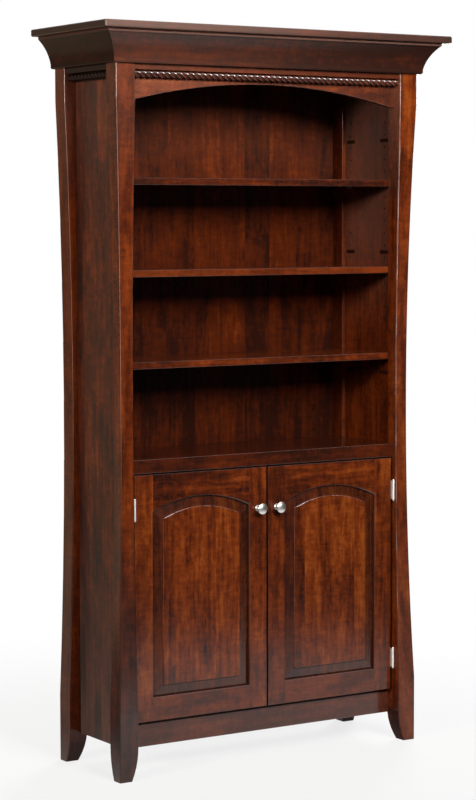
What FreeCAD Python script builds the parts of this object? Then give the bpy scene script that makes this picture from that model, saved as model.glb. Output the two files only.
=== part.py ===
"""Bookcase with cabinet doors: a tall case on hollowed posts, with a cove crown, rope mouldings, an arched
top rail, adjustable shelves and a pair of raised-panel doors.

Millimetres. Z is up, the front faces -Y, the origin is the bottom centre of the whole piece.
"""
import FreeCAD
import Part
import math
import os

Vec = FreeCAD.Vector

# Whole piece
overall_height = 1981.0
case_width = 965.0
case_depth = 331.0
slab_thickness = 19.0
slab_overhang = 70.0
slab_round = 4.0

# Posts and feet
post_width = 57.0
post_depth = 54.0
post_hollow = 18.5
hollow_low = 180.0
hollow_high = 1790.0
post_edge_round = 3.2
foot_height = 90.0
foot_taper_x = 19.0
foot_taper_y = 18.0

# Crown, frieze and rope
crown_height = 84.0
crown_nose = 12.0
crown_reach = 49.0
frieze_recess = 5.5
frieze_height = 14.5
rope_recess = 6.0
rope_radius = 9.5
strand_radius = 5.2
strand_count = 3
strand_flats = 3
rope_lead = 55.0
rope_rings_per_turn = 8
rope_ledge_height = 21.5
rope_ledge_gap = 0.5

# Boards
face_recess = 28.5
rail_thickness = 20.0
arch_end_z = 1786.5
arch_apex_z = 1836.0
arch_flat = 13.5
deck_top = 846.0
deck_rail_height = 37.0
board_thickness = 19.0
board_edge_round = 2.0
floor_top = 165.0
bottom_rail_low = 76.0
bottom_rail_gap = 1.5
side_panel_outer = 446.5
side_panel_thickness = 10.0
panel_low = 79.0
back_thickness = 6.0

# Shelf pins and pocket plugs
pin_top_z = 1747.8
pin_pitch = 34.6
pin_rows = range(0, 24)
cabinet_pin_rows = range(35, 40)
shelf_rows = {"upper_shelf": 5, "middle_shelf": 12, "lower_shelf": 19, "cabinet_shelf": 37}
pin_columns = (-43.5, 122.5)
pin_radius = 2.5
pin_length = 7.0
pin_hole_radius = 2.6
pin_hole_depth = 7.5
pin_above_ledge = 8.0
bracket_width = 10.0
bracket_reach = 10.0
bracket_gauge = 1.3
plug_columns = (-39.5, 119.5)
plug_heights = (1697.0, 1383.5, 1043.0, 716.0, 389.0)
plug_length = 40.0
plug_width = 10.0
plug_depth = 3.0
plug_proud = 0.4
plug_clearance = 0.15

# Adjustable shelves
shelf_end_gap = 2.3
shelf_front_gap = 1.0
shelf_back_gap = 2.0
shelf_notch_gap = 2.0

# Doors
hinge_gap = 7.0
meeting_gap = 4.0
door_top_gap = 3.5
door_low = 146.5
stile_width = 57.0
door_bottom_rail = 64.0
frame_bevel = 2.5
door_arch_end_z = 705.5
door_arch_apex_z = 740.5
groove_front = 9.0
groove_width = 6.0
groove_depth = 9.0
groove_play = 0.1
tongue_length = 8.0
field_inset = 30.5
field_low = 239.5
field_arch_end_z = 686.0
field_arch_apex_z = 713.0
field_recess = 0.5
field_step = 3.0
field_round = 2.0

# Hardware
knob_from_edge = 28.5
knob_z = 694.0
knob_reach = 28.0
knob_head_radius = 14.9
knob_face_radius = 14.2
knob_face_out = 24.8
knob_foot_radius = 8.5
knob_waist_radius = 5.4
barrel_radius = 3.2
barrel_length = 51.0
knuckle_gap = 0.3
hinge_axis_forward = 7.0
hinge_heights = (715.0, 237.0)
leaf_gauge = 1.6
leaf_depth = 22.0
leaf_seat = 0.2
hinge_pin_radius = 1.5
hinge_pin_play = 0.05
magnet_radius = 6.0
magnet_gauge = 1.2
strike_gauge = 1.0
catch_drop = 8.5
stop_height = 37.0
stop_gap = 2.4

# Places worked out from the sizes above
half_width = case_width / 2
back_y = (case_depth + slab_overhang) / 2
front_y = back_y - case_depth
slab_low = overall_height - slab_thickness
post_inner = half_width - post_width
front_post_rear = front_y + post_depth
rear_post_front = back_y - post_depth
side_panel_inner = side_panel_outer - side_panel_thickness
crown_low = slab_low - crown_height
frieze_low = crown_low - frieze_height
rope_z = frieze_low - rope_ledge_height / 2 - 0.25
face_y = front_y + face_recess
face_back = face_y + rail_thickness
back_panel_front = back_y - back_thickness
door_high = deck_top - deck_rail_height - door_top_gap
door_outer = post_inner - hinge_gap
door_inner = meeting_gap / 2
open_left = -door_outer + stile_width
open_right = -door_inner - stile_width
hinge_x = post_inner - hinge_gap / 2 - 0.5
hinge_y = face_y - hinge_axis_forward


def box(x0, x1, y0, y1, z0, z1):
    """A block between two corners."""
    return Part.makeBox(x1 - x0, y1 - y0, z1 - z0, Vec(x0, y0, z0))


def line(start, end):
    return Part.makeLine(start, end)


def arc(start, middle, end):
    return Part.Arc(start, middle, end).toShape()


def prism(edges, sweep):
    """A closed outline swept along a vector."""
    return Part.Face(Part.Wire(edges)).extrude(sweep)


def polygon_prism(points, sweep):
    return Part.Face(Part.makePolygon(points + points[:1])).extrude(sweep)


def mirrored(shape):
    """The same piece on the other side of the middle plane."""
    return shape.mirror(Vec(0, 0, 0), Vec(1, 0, 0))


def ngon(center, radius, sides, across, up):
    """The corners of a regular outline round a point, in the plane of two directions."""
    corners = []
    for step in range(sides):
        angle = 2 * math.pi * (step + 0.5) / sides
        corners.append(center + across * (radius * math.cos(angle)) + up * (radius * math.sin(angle)))
    return corners


def eased(shape, is_shown):
    """A board with its handled edges rounded over. is_shown picks an edge by its box."""
    return shape.makeFillet(board_edge_round, [edge for edge in shape.Edges if is_shown(edge.BoundBox)])


def front_edges(front):
    """Picks the long edges of a board's front face."""
    return lambda bounds: bounds.YMax < front + 0.1 and bounds.XLength > stile_width


def upright_edges(shape, places):
    """A post's long edges that run near the given (x, y) corners."""
    found = []
    for edge in shape.Edges:
        bounds = edge.BoundBox
        if bounds.ZLength < foot_height / 2:
            continue
        for x, y in places:
            if abs(bounds.Center.x - x) < post_hollow + 1 and abs(bounds.Center.y - y) < post_hollow + 1:
                found.append(edge)
                break
    return found


def hollowed_edge(place, direction, along):
    """The pad, the long hollow and the pad of one outer face, from the floor up."""
    mid_z = (hollow_low + hollow_high) / 2
    return [
        line(along(place, 0), along(place, hollow_low)),
        arc(along(place, hollow_low), along(place + direction * post_hollow, mid_z), along(place, hollow_high)),
        line(along(place, hollow_high), along(place, slab_low)),
    ]


def straight_edge(place, along):
    return [line(along(place, 0), along(place, slab_low))]


def tapered_edge(place, direction, taper, along):
    """A straight inner face that curves back to a slimmer foot, from the top down."""
    radius = (foot_height ** 2 + taper ** 2) / (2 * taper)
    half = foot_height / 2
    bow = radius - math.sqrt(radius ** 2 - half ** 2)
    return [
        line(along(place, slab_low), along(place, foot_height)),
        arc(along(place, foot_height), along(place + direction * bow, half), along(place + direction * taper, 0)),
    ]


def closed_between(first, second, along, first_place, second_place, second_foot):
    """Two upright edge runs joined at the top and at the floor."""
    top = line(along(first_place, slab_low), along(second_place, slab_low))
    floor = line(along(second_foot, 0), along(first_place, 0))
    return first + [top] + second + [floor]


def right_post(is_front):
    """One right-hand post: the front outline and the side outline cut from one square."""
    def in_front_view(x, z):
        return Vec(x, -400, z)

    def in_side_view(y, z):
        return Vec(0, y, z)

    outer = hollowed_edge(half_width, -1, in_front_view)
    inner = tapered_edge(post_inner, 1, foot_taper_x, in_front_view)
    front_outline = closed_between(outer, inner, in_front_view, half_width, post_inner, post_inner + foot_taper_x)
    if is_front:
        show = hollowed_edge(front_y, 1, in_side_view)
        hidden = tapered_edge(front_post_rear, -1, foot_taper_y, in_side_view)
        foot = front_post_rear - foot_taper_y
        side_outline = closed_between(show, hidden, in_side_view, front_y, front_post_rear, foot)
        eased = [(half_width, front_y), (post_inner, front_y), (half_width, front_post_rear)]
    else:
        wall = straight_edge(back_y, in_side_view)
        show = tapered_edge(rear_post_front, 1, foot_taper_y, in_side_view)
        foot = rear_post_front + foot_taper_y
        side_outline = closed_between(wall, show, in_side_view, back_y, rear_post_front, foot)
        eased = [(half_width, rear_post_front), (half_width, back_y), (post_inner, rear_post_front)]
    post = prism(front_outline, Vec(0, 800, 0)).common(prism(side_outline, Vec(600, 0, 0)))
    return post.makeFillet(post_edge_round, upright_edges(post, eased))


def top_slab():
    half = half_width + slab_overhang
    slab = box(-half, half, front_y - slab_overhang, back_y, slab_low, overall_height)
    shown = []
    for edge in slab.Edges:
        if edge.BoundBox.YMin < back_y - 1:
            shown.append(edge)
    return slab.makeFillet(slab_round, shown)


def crown_edges(place):
    """The crown's section: flat back, rounded nose, cove and fillet. place(reach, z) gives a point."""
    nose_round = 6.0
    cove_low = crown_low + crown_nose
    fillet_low = slab_low - 8.0
    corner = nose_round * (1 - math.sqrt(0.5))
    back_low = place(0, crown_low)
    nose_low = place(crown_nose - nose_round, crown_low)
    nose_mid = place(crown_nose - corner, crown_low + corner)
    nose_high = place(crown_nose, crown_low + nose_round)
    cove_start = place(crown_nose, cove_low)
    cove_mid = place(crown_nose + 12.2, cove_low + 34.0)
    cove_end = place(crown_reach - 1.5, fillet_low)
    fillet = place(crown_reach, fillet_low + 1.5)
    top = place(crown_reach, slab_low)
    back_high = place(0, slab_low)
    return [
        line(back_low, nose_low),
        arc(nose_low, nose_mid, nose_high),
        line(nose_high, cove_start),
        arc(cove_start, cove_mid, cove_end),
        line(cove_end, fillet),
        line(fillet, top),
        line(top, back_high),
        line(back_high, back_low),
    ]


def crown_front():
    """The front run, cut by the two mitres."""
    reach = 80.0
    length = case_width + 2 * reach
    edges = crown_edges(lambda out, z: Vec(-length / 2, front_y - out, z))
    plan = [
        Vec(-half_width, front_y, crown_low),
        Vec(half_width, front_y, crown_low),
        Vec(half_width + reach, front_y - reach, crown_low),
        Vec(-half_width - reach, front_y - reach, crown_low),
    ]
    return prism(edges, Vec(length, 0, 0)).common(polygon_prism(plan, Vec(0, 0, crown_height)))


def crown_right():
    """The right run, from the mitre to the back."""
    reach = 80.0
    edges = crown_edges(lambda out, z: Vec(half_width + out, front_y - reach, z))
    plan = [
        Vec(half_width, front_y, crown_low),
        Vec(half_width + reach, front_y - reach, crown_low),
        Vec(half_width + reach, back_y, crown_low),
        Vec(half_width, back_y, crown_low),
    ]
    return prism(edges, Vec(0, case_depth + reach, 0)).common(polygon_prism(plan, Vec(0, 0, crown_height)))


def frieze_front():
    ledge_low = frieze_low - rope_ledge_height
    rope_back = front_y + rope_recess + 2 * rope_radius
    upper = box(-post_inner, post_inner, front_y + frieze_recess, face_y, frieze_low, slab_low)
    ledge = box(-post_inner, post_inner, rope_back + rope_ledge_gap, face_y, ledge_low, frieze_low)
    return upper.fuse(ledge).removeSplitter()


def frieze_right():
    ledge_low = frieze_low - rope_ledge_height
    rope_back = half_width - rope_recess - 2 * rope_radius
    upper = box(side_panel_outer, half_width - frieze_recess, front_post_rear, rear_post_front, frieze_low, slab_low)
    ledge = box(side_panel_outer, rope_back - rope_ledge_gap, front_post_rear, rear_post_front, ledge_low, frieze_low)
    return upper.fuse(ledge).removeSplitter()


def rope_outline():
    """The corners of the rope's section as (radius, angle): each strand shows a few flats round its own centre."""
    reach = rope_radius - strand_radius
    half_sector = math.pi / strand_count
    valley = reach * math.cos(half_sector) + math.sqrt(strand_radius ** 2 - (reach * math.sin(half_sector)) ** 2)
    swing = math.atan2(valley * math.sin(half_sector), valley * math.cos(half_sector) - reach)
    corners = []
    for strand in range(strand_count):
        for flat in range(strand_flats):
            angle = -swing + 2 * swing * flat / strand_flats
            across = reach + strand_radius * math.cos(angle)
            aside = strand_radius * math.sin(angle)
            corners.append((math.hypot(across, aside), 2 * half_sector * strand + math.atan2(aside, across)))
    return corners


def rope(length):
    """A right-hand rope along Z, from z = 0: rings of the section, each turned further, joined by flat facets."""
    outline = rope_outline()
    ring_count = round(length * rope_rings_per_turn / rope_lead)
    rings = []
    for ring in range(ring_count + 1):
        z = length * ring / ring_count
        turn = 2 * math.pi * z / rope_lead
        rings.append([Vec(r * math.cos(angle + turn), r * math.sin(angle + turn), z) for r, angle in outline])
    facets = [rings[0][::-1], rings[-1]]
    for lower, upper in zip(rings, rings[1:]):
        for here in range(len(outline)):
            after = (here + 1) % len(outline)
            facets.append([lower[here], lower[after], upper[here]])
            facets.append([lower[after], upper[after], upper[here]])
    faces = [Part.Face(Part.makePolygon(facet + facet[:1])) for facet in facets]
    skin = Part.makeShell(faces)
    skin.sewShape()
    return Part.makeSolid(skin)


def rope_front():
    rod = rope(2 * post_inner)
    rod.rotate(Vec(0, 0, 0), Vec(0, 1, 0), 90)
    rod.translate(Vec(-post_inner, front_y + rope_recess + rope_radius, rope_z))
    return rod


def rope_side(side):
    """The rope under one side's frieze, with the same twist as the front one."""
    rod = rope(rear_post_front - front_post_rear)
    rod.rotate(Vec(0, 0, 0), Vec(1, 0, 0), -90)
    rod.translate(Vec(side * (half_width - rope_recess - rope_radius), front_post_rear, rope_z))
    return rod


def arched_rail():
    """The top rail, with a low arch between two short flats."""
    arch_half = post_inner - arch_flat

    def at(x, z):
        return Vec(x, face_y, z)

    edges = [
        line(at(-post_inner, arch_end_z), at(-arch_half, arch_end_z)),
        arc(at(-arch_half, arch_end_z), at(0, arch_apex_z), at(arch_half, arch_end_z)),
        line(at(arch_half, arch_end_z), at(post_inner, arch_end_z)),
        line(at(post_inner, arch_end_z), at(post_inner, slab_low)),
        line(at(post_inner, slab_low), at(-post_inner, slab_low)),
        line(at(-post_inner, slab_low), at(-post_inner, arch_end_z)),
    ]
    return eased(prism(edges, Vec(0, rail_thickness, 0)), lambda bounds: face_y + 0.1 > bounds.YMax
                 and 0 < bounds.ZLength < 2 * (arch_apex_z - arch_end_z))


def pin_z(row):
    return pin_top_z - pin_pitch * row


def pin_solid(y, z, radius, depth):
    """An eight-sided peg or hole going into the right side panel from its inner face."""
    corners = ngon(Vec(side_panel_inner, y, z), radius, 8, Vec(0, 1, 0), Vec(0, 0, 1))
    return polygon_prism(corners, Vec(depth, 0, 0))


def plug_solid(x, y, z, length, width, depth):
    """An oval block along Y, with each round end in four flats, going towards +X."""
    run = length / 2 - width / 2
    corners = []
    for step in range(10):
        end = 1 if step < 5 else -1
        angle = -math.pi / 2 + math.pi * (step - step // 5) / 4
        corners.append(Vec(x, y + end * run + math.cos(angle) * width / 2, z + math.sin(angle) * width / 2))
    return polygon_prism(corners, Vec(depth, 0, 0))


def right_side_panel():
    panel = box(side_panel_inner, side_panel_outer, front_post_rear, rear_post_front, panel_low, slab_low)
    cuts = []
    for row in list(pin_rows) + list(cabinet_pin_rows):
        for y in pin_columns:
            cuts.append(pin_solid(y, pin_z(row), pin_hole_radius, pin_hole_depth))
    for z in plug_heights:
        for y in plug_columns:
            cuts.append(plug_solid(side_panel_inner, y, z, plug_length, plug_width, plug_depth))
    return panel.cut(Part.makeCompound(cuts))


def right_pocket_plugs():
    plugs = []
    length = plug_length - 2 * plug_clearance
    width = plug_width - 2 * plug_clearance
    for z in plug_heights:
        for y in plug_columns:
            plugs.append(plug_solid(side_panel_inner - plug_proud, y, z, length, width, plug_depth + plug_proud))
    return plugs


def right_shelf_supports():
    """Small angle brackets, each with a peg in its hole and a ledge under the shelf."""
    supports = []
    for row in shelf_rows.values():
        z = pin_z(row)
        for y in pin_columns:
            half = bracket_width / 2
            leg_in = side_panel_inner - bracket_gauge
            ledge_top = z - pin_above_ledge
            ledge_low = ledge_top - bracket_gauge
            leg = box(leg_in, side_panel_inner, y - half, y + half, ledge_low, z + 6)
            ledge = box(leg_in - bracket_reach, leg_in, y - half, y + half, ledge_low, ledge_top)
            peg = pin_solid(y, z, pin_radius, pin_length)
            supports.append(leg.fuse([ledge, peg]).removeSplitter())
    return supports


def both_sides(solids):
    """A set of small solids and its mirror image, kept as one group."""
    return Part.makeCompound(solids + [mirrored(solid) for solid in solids])


def notched_board(half, front, rear, low, high, notch_half, front_notch, rear_notch):
    """A board between the side panels, cut round the posts at the corners that reach them."""
    board = box(-half, half, front, rear, low, high)
    for side in (-1, 1):
        near, far = sorted((side * notch_half, side * (half + 1)))
        if front_notch > front:
            board = board.cut(box(near, far, front - 1, front_notch, low - 1, high + 1))
        if rear_notch < rear:
            board = board.cut(box(near, far, rear_notch, rear + 1, low - 1, high + 1))
    return board


def fixed_board(front, low, high):
    return notched_board(side_panel_inner, front, back_panel_front, low, high,
                         post_inner, front_post_rear, rear_post_front)


def loose_shelf(row):
    low = pin_z(row) - pin_above_ledge
    front = front_post_rear + shelf_front_gap
    rear = back_panel_front - shelf_back_gap
    half = side_panel_inner - shelf_end_gap
    board = notched_board(half, front, rear, low, low + board_thickness,
                          post_inner - shelf_notch_gap, front, rear_post_front - shelf_notch_gap)
    return eased(board, front_edges(front))


def arched_outline(left, right, low, end_z, apex_z, y):
    """A tall outline with three straight sides and an arched head, in one plane."""
    def at(x, z):
        return Vec(x, y, z)

    return Part.Wire([
        line(at(left, low), at(right, low)),
        line(at(right, low), at(right, end_z)),
        arc(at(right, end_z), at((left + right) / 2, apex_z), at(left, end_z)),
        line(at(left, end_z), at(left, low)),
    ])


def arched_plate(left, right, low, end_z, apex_z, y0, y1):
    return Part.Face(arched_outline(left, right, low, end_z, apex_z, y0)).extrude(Vec(0, y1 - y0, 0))


def panel_bevel():
    """What the four frame pieces lose to the bevel on their front edges round the panel."""
    opening = (open_left, open_right, door_low + door_bottom_rail, door_arch_end_z, door_arch_apex_z)
    run_out = 1.0
    mitred = 2
    inner = arched_outline(*opening, face_y + frame_bevel)
    outer = arched_outline(*opening, face_y - run_out).makeOffset2D(frame_bevel + run_out, mitred)
    return Part.makeLoft([outer, inner], True, True)


def door_stile(x0, x1, groove_side):
    outer = x0 if groove_side > 0 else x1
    stile = box(x0, x1, face_y, face_back, door_low, door_high)
    stile = eased(stile, lambda bounds: bounds.YMax < face_y + 0.1
                  and (bounds.ZLength < 1 or abs(bounds.Center.x - outer) < 0.1))
    groove_x = x1 - groove_depth if groove_side > 0 else x0
    groove = box(groove_x, groove_x + groove_depth, face_y + groove_front,
                 face_y + groove_front + groove_width, door_low, door_high)
    return stile.cut([groove, panel_bevel()])


def stub_tongues(low, high):
    """The short tongues at both ends of a door rail."""
    y0 = face_y + groove_front + groove_play
    y1 = face_y + groove_front + groove_width - groove_play
    return [
        box(open_left - tongue_length, open_left, y0, y1, low, high),
        box(open_right, open_right + tongue_length, y0, y1, low, high),
    ]


def door_top_rail():
    head = box(open_left, open_right, face_y, face_back, door_arch_end_z, door_high)
    head = eased(head, lambda bounds: bounds.YMax < face_y + 0.1 and bounds.ZMin > door_high - 0.1)
    arch = arched_plate(open_left, open_right, door_low, door_arch_end_z, door_arch_apex_z, face_y, face_back)
    groove = arched_plate(open_left, open_right, door_low, door_arch_end_z + groove_depth,
                          door_arch_apex_z + groove_depth, face_y + groove_front,
                          face_y + groove_front + groove_width)
    rail = head.cut([arch, groove, panel_bevel()])
    return rail.fuse(stub_tongues(door_arch_end_z + 12, door_high - 15)).removeSplitter()


def door_bottom_rail_solid():
    high = door_low + door_bottom_rail
    rail = box(open_left, open_right, face_y, face_back, door_low, high)
    rail = eased(rail, lambda bounds: bounds.YMax < face_y + 0.1 and bounds.ZMax < door_low + 0.1)
    groove = box(open_left, open_right, face_y + groove_front, face_y + groove_front + groove_width,
                 high - groove_depth, high)
    return rail.cut([groove, panel_bevel()]).fuse(stub_tongues(door_low + 10, high - 12)).removeSplitter()


def raised_panel():
    """The panel's round-edged field, its sloping margins and the thin edge that sits in the frame's groove."""
    low = door_low + door_bottom_rail
    edge_front = face_y + groove_front + groove_play
    edge_back = face_y + groove_front + groove_width - groove_play
    slope_front = face_y + field_recess + field_step
    field = (open_left + field_inset, open_right - field_inset, field_low, field_arch_end_z, field_arch_apex_z)
    opening = (open_left, open_right, low, door_arch_end_z, door_arch_apex_z)
    seated = (open_left - tongue_length, open_right + tongue_length, low - tongue_length,
              door_arch_end_z + tongue_length / 2, door_arch_apex_z + tongue_length)
    top = arched_plate(*field, face_y + field_recess, slope_front)
    rim = [edge for edge in top.Edges if edge.BoundBox.YMax < face_y + field_recess + 0.1]
    top = top.makeFillet(field_round, rim)
    margin = Part.makeLoft([arched_outline(*field, slope_front), arched_outline(*opening, edge_front)], True, True)
    plate = arched_plate(*seated, edge_front, edge_back)
    return top.fuse([margin, plate]).removeSplitter()


def left_knob():
    """A turned mushroom knob: a flared foot on the meeting stile, a waist and a head with a shallow dome."""
    def at(radius, out):
        return Vec(radius, -out, 0)

    dome = knob_reach - knob_face_out
    dome_radius = (knob_face_radius ** 2 + dome ** 2) / (2 * dome)
    half = knob_face_radius / 2
    dome_mid = knob_reach - dome_radius + math.sqrt(dome_radius ** 2 - half ** 2)
    seat = at(0, 0)
    foot = at(knob_foot_radius, 0)
    foot_top = at(knob_foot_radius, 1.8)
    waist = at(knob_waist_radius, 9.0)
    throat = at(6.6, 17.0)
    under_head = at(9.6, 19.8)
    head_back = at(knob_face_radius, 22.0)
    rim = at(knob_head_radius, (22.0 + knob_face_out) / 2)
    head_front = at(knob_face_radius, knob_face_out)
    crown = at(0, knob_reach)
    edges = [
        line(seat, foot),
        line(foot, foot_top),
        arc(foot_top, waist, throat),
        arc(throat, under_head, head_back),
        arc(head_back, rim, head_front),
        arc(head_front, at(half, dome_mid), crown),
        line(crown, seat),
    ]
    knob = Part.Face(Part.Wire(edges)).revolve(Vec(0, 0, 0), Vec(0, 1, 0), 360)
    knob.translate(Vec(-door_inner - knob_from_edge, face_y, knob_z))
    return knob


def knuckle(low, high, bore_radius):
    """One tube of a hinge barrel on the right-hand hinge line."""
    place = Vec(hinge_x, hinge_y, low)
    tube = Part.makeCylinder(barrel_radius, high - low, place)
    return tube.cut(Part.makeCylinder(bore_radius, high - low, place))


def leaf_plate(x0, x1, knuckles, z):
    """A leaf's plate behind the barrel, with arms to its own knuckles."""
    clear_y = hinge_y + barrel_radius + 0.5
    rear_y = hinge_y + barrel_radius + leaf_depth
    plate = box(x0, x1, clear_y, rear_y, z - barrel_length / 2, z + barrel_length / 2)
    arms = []
    for low, high in knuckles:
        bore = Part.makeCylinder(hinge_pin_radius + 0.5, high - low, Vec(hinge_x, hinge_y, low))
        arms.append(box(x0, x1, hinge_y, clear_y, low, high).cut(bore))
    return plate.fuse(arms)


def ball_tip(z, direction):
    """The turned ball on one end of a hinge pin: a seat, a belly and a crown."""
    outline = [(0, 0), (3.2, 1.6), (2.6, 4.2), (0, 5.4)]
    points = [Vec(hinge_x + radius, hinge_y, z + direction * out) for radius, out in outline]
    face = Part.Face(Part.makePolygon(points + points[:1]))
    return face.revolve(Vec(hinge_x, hinge_y, z), Vec(0, 0, 1), 360)


def right_hinge(z):
    """One butt hinge: the frame leaf, the door leaf and the ball-tipped pin."""
    half = barrel_length / 2
    third = barrel_length / 6
    outer = [(z - half, z - third), (z + third, z + half)]
    inner = [(z - third + knuckle_gap, z + third - knuckle_gap)]
    frame_leaf = leaf_plate(post_inner - leaf_seat - leaf_gauge, post_inner, outer, z)
    for low, high in outer:
        frame_leaf = frame_leaf.fuse(knuckle(low, high, hinge_pin_radius + hinge_pin_play))
    door_leaf = leaf_plate(door_outer, door_outer + leaf_seat + leaf_gauge, inner, z)
    for low, high in inner:
        door_leaf = door_leaf.fuse(knuckle(low, high, hinge_pin_radius + hinge_pin_play))
    pin = Part.makeCylinder(hinge_pin_radius, barrel_length, Vec(hinge_x, hinge_y, z - half))
    pin = pin.fuse([ball_tip(z + half, 1), ball_tip(z - half, -1)])
    return frame_leaf.removeSplitter(), door_leaf.removeSplitter(), pin.removeSplitter()


def catch_disc(y0, gauge):
    """A round magnet or strike plate behind the right door's meeting stile, near its top."""
    x = door_inner + knob_from_edge
    return Part.makeCylinder(magnet_radius, gauge, Vec(x, y0, door_high - catch_drop), Vec(0, 1, 0))


def build():
    """Every piece by its node name."""
    nodes = {}
    nodes["top_slab"] = top_slab()
    nodes["crown_front"] = crown_front()
    nodes["crown_right"] = crown_right()
    nodes["crown_left"] = mirrored(nodes["crown_right"])
    nodes["frieze_front"] = frieze_front()
    nodes["frieze_right"] = frieze_right()
    nodes["frieze_left"] = mirrored(nodes["frieze_right"])
    nodes["rope_front"] = rope_front()
    nodes["rope_left"] = rope_side(-1)
    nodes["rope_right"] = rope_side(1)
    nodes["front_right_post"] = right_post(True)
    nodes["front_left_post"] = mirrored(nodes["front_right_post"])
    nodes["rear_right_post"] = right_post(False)
    nodes["rear_left_post"] = mirrored(nodes["rear_right_post"])
    nodes["right_side_panel"] = right_side_panel()
    nodes["left_side_panel"] = mirrored(nodes["right_side_panel"])
    nodes["arched_rail"] = arched_rail()
    nodes["deck"] = fixed_board(face_back, deck_top - board_thickness, deck_top)
    deck_rail = box(-post_inner, post_inner, face_y, face_back, deck_top - deck_rail_height, deck_top)
    nodes["deck_rail"] = eased(deck_rail, front_edges(face_y))
    rail_front = face_back + bottom_rail_gap
    rail_back = rail_front + board_thickness
    bottom_rail = box(-post_inner, post_inner, rail_front, rail_back, bottom_rail_low, floor_top)
    nodes["bottom_rail"] = eased(bottom_rail, front_edges(rail_front))
    nodes["cabinet_floor"] = fixed_board(rail_back, floor_top - board_thickness, floor_top)
    nodes["back_panel"] = box(-post_inner, post_inner, back_panel_front, back_y, panel_low, slab_low)
    nodes["shelf_supports"] = both_sides(right_shelf_supports())
    nodes["pocket_plugs"] = both_sides(right_pocket_plugs())
    stop_front = face_back + stop_gap
    stop_high = deck_top - board_thickness
    nodes["door_stop"] = box(-post_inner, post_inner, stop_front, stop_front + board_thickness,
                             stop_high - stop_height, stop_high)
    nodes["catch_magnets"] = both_sides([catch_disc(stop_front - magnet_gauge, magnet_gauge)])
    for name, row in shelf_rows.items():
        nodes[name] = loose_shelf(row)

    hinges = [right_hinge(z) for z in hinge_heights]
    right_frame_leaves = Part.makeCompound([hinge[0] for hinge in hinges])
    right_door_leaves = Part.makeCompound([hinge[1] for hinge in hinges])
    right_pins = Part.makeCompound([hinge[2] for hinge in hinges])
    nodes["right_hinge_frame_leaves"] = right_frame_leaves
    nodes["left_hinge_frame_leaves"] = mirrored(right_frame_leaves)
    nodes["right_hinge_pins"] = right_pins
    nodes["left_hinge_pins"] = mirrored(right_pins)

    left_door = {
        "hinge_stile": door_stile(-door_outer, open_left, 1),
        "meeting_stile": door_stile(open_right, -door_inner, -1),
        "top_rail": door_top_rail(),
        "bottom_rail": door_bottom_rail_solid(),
        "raised_panel": raised_panel(),
        "knob": left_knob(),
        "hinge_door_leaves": mirrored(right_door_leaves),
        "catch_strike": mirrored(catch_disc(face_back, strike_gauge)),
    }
    for name, solid in left_door.items():
        nodes["left_" + name] = solid
        nodes["right_" + name] = mirrored(solid)
    return nodes


os.makedirs("parts", exist_ok=True)
for node_name, node_shape in build().items():
    node_shape.exportStep("parts/" + node_name + ".step")
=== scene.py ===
import math
from functools import partial
from typing import NamedTuple

import bmesh
import bpy
from mathutils import Matrix, Vector


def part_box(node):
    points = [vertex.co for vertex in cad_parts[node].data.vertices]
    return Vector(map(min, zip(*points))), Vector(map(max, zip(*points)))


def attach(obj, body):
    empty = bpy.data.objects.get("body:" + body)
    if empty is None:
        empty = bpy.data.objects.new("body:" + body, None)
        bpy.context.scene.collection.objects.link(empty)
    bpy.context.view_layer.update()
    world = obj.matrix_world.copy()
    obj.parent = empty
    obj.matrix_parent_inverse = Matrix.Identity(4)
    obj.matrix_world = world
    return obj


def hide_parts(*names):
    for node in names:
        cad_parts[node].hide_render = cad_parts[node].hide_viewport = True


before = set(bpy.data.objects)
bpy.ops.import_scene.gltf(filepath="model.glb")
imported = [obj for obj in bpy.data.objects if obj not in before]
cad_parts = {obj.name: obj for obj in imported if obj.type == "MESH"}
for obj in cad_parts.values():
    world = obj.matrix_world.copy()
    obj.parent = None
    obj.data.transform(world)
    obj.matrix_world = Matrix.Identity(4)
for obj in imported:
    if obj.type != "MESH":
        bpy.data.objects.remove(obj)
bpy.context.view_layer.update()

bl_info = {
    "name": "Bookcase with cabinet doors",
    "version": (1, 0, 0),
    "blender": (4, 5, 0),
    "location": "View3D > Sidebar > Bookcase",
    "description": "Finishes a tall varnished bookcase and sets it in a small studio",
    "category": "Object",
}

MM = 0.001
QUARTER_TURN = math.radians(90)
SHARP_ANGLE = math.radians(45)


class Board(NamedTuple):
    """How one board is cut, finished and painted with light and shade. Heights are in metres above the floor.
    """
    grain: str  # axis that its grain runs along
    tone: float  # lighter above 0, darker below
    figure: float  # how strongly its grain shows
    staves: str = ""  # axis across the staves that a wide board is glued up from
    painted_foot_shade: float = 0.0  # painted shade: how much darker it gets towards the floor, lighter below 0
    shade_top: float = 1.1  # height below which it does
    painted_head_shade: float = 0.0  # painted shade: how much darker it gets towards the top of the case
    painted_right_shade: float = 0.0  # painted shade: how much darker it gets towards the right
    ends: float = 0.05  # how much darker its end grain is
    edge: float = 1.0  # how strong the painted highlights on its rounded edges are
    polish: float = 0.0  # how much smoother its upright rounded edges are
    dull: float = 0.0  # how much rougher its varnish is
    sheen: float = 1.0  # share of the varnish's shine that it keeps
    fade: float = 0.0  # height below which its varnish has gone dull and its painted edge highlights fade out
    painted_sheen: float = 0.0  # how pale the painted reflection on its varnish gets
    painted_sheen_low: float = 1.45  # height at which the painted reflection begins
    inner_painted_sheen: bool = False  # keeps the painted reflection to the faces that look towards the case's middle
    painted_floor_sheen: float = 0.0  # how grey a painted reflection of the floor makes its outer faces near the floor
    matt_painted_shade: bool = False  # lets its painted shade reflect only its own dark colour


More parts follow.
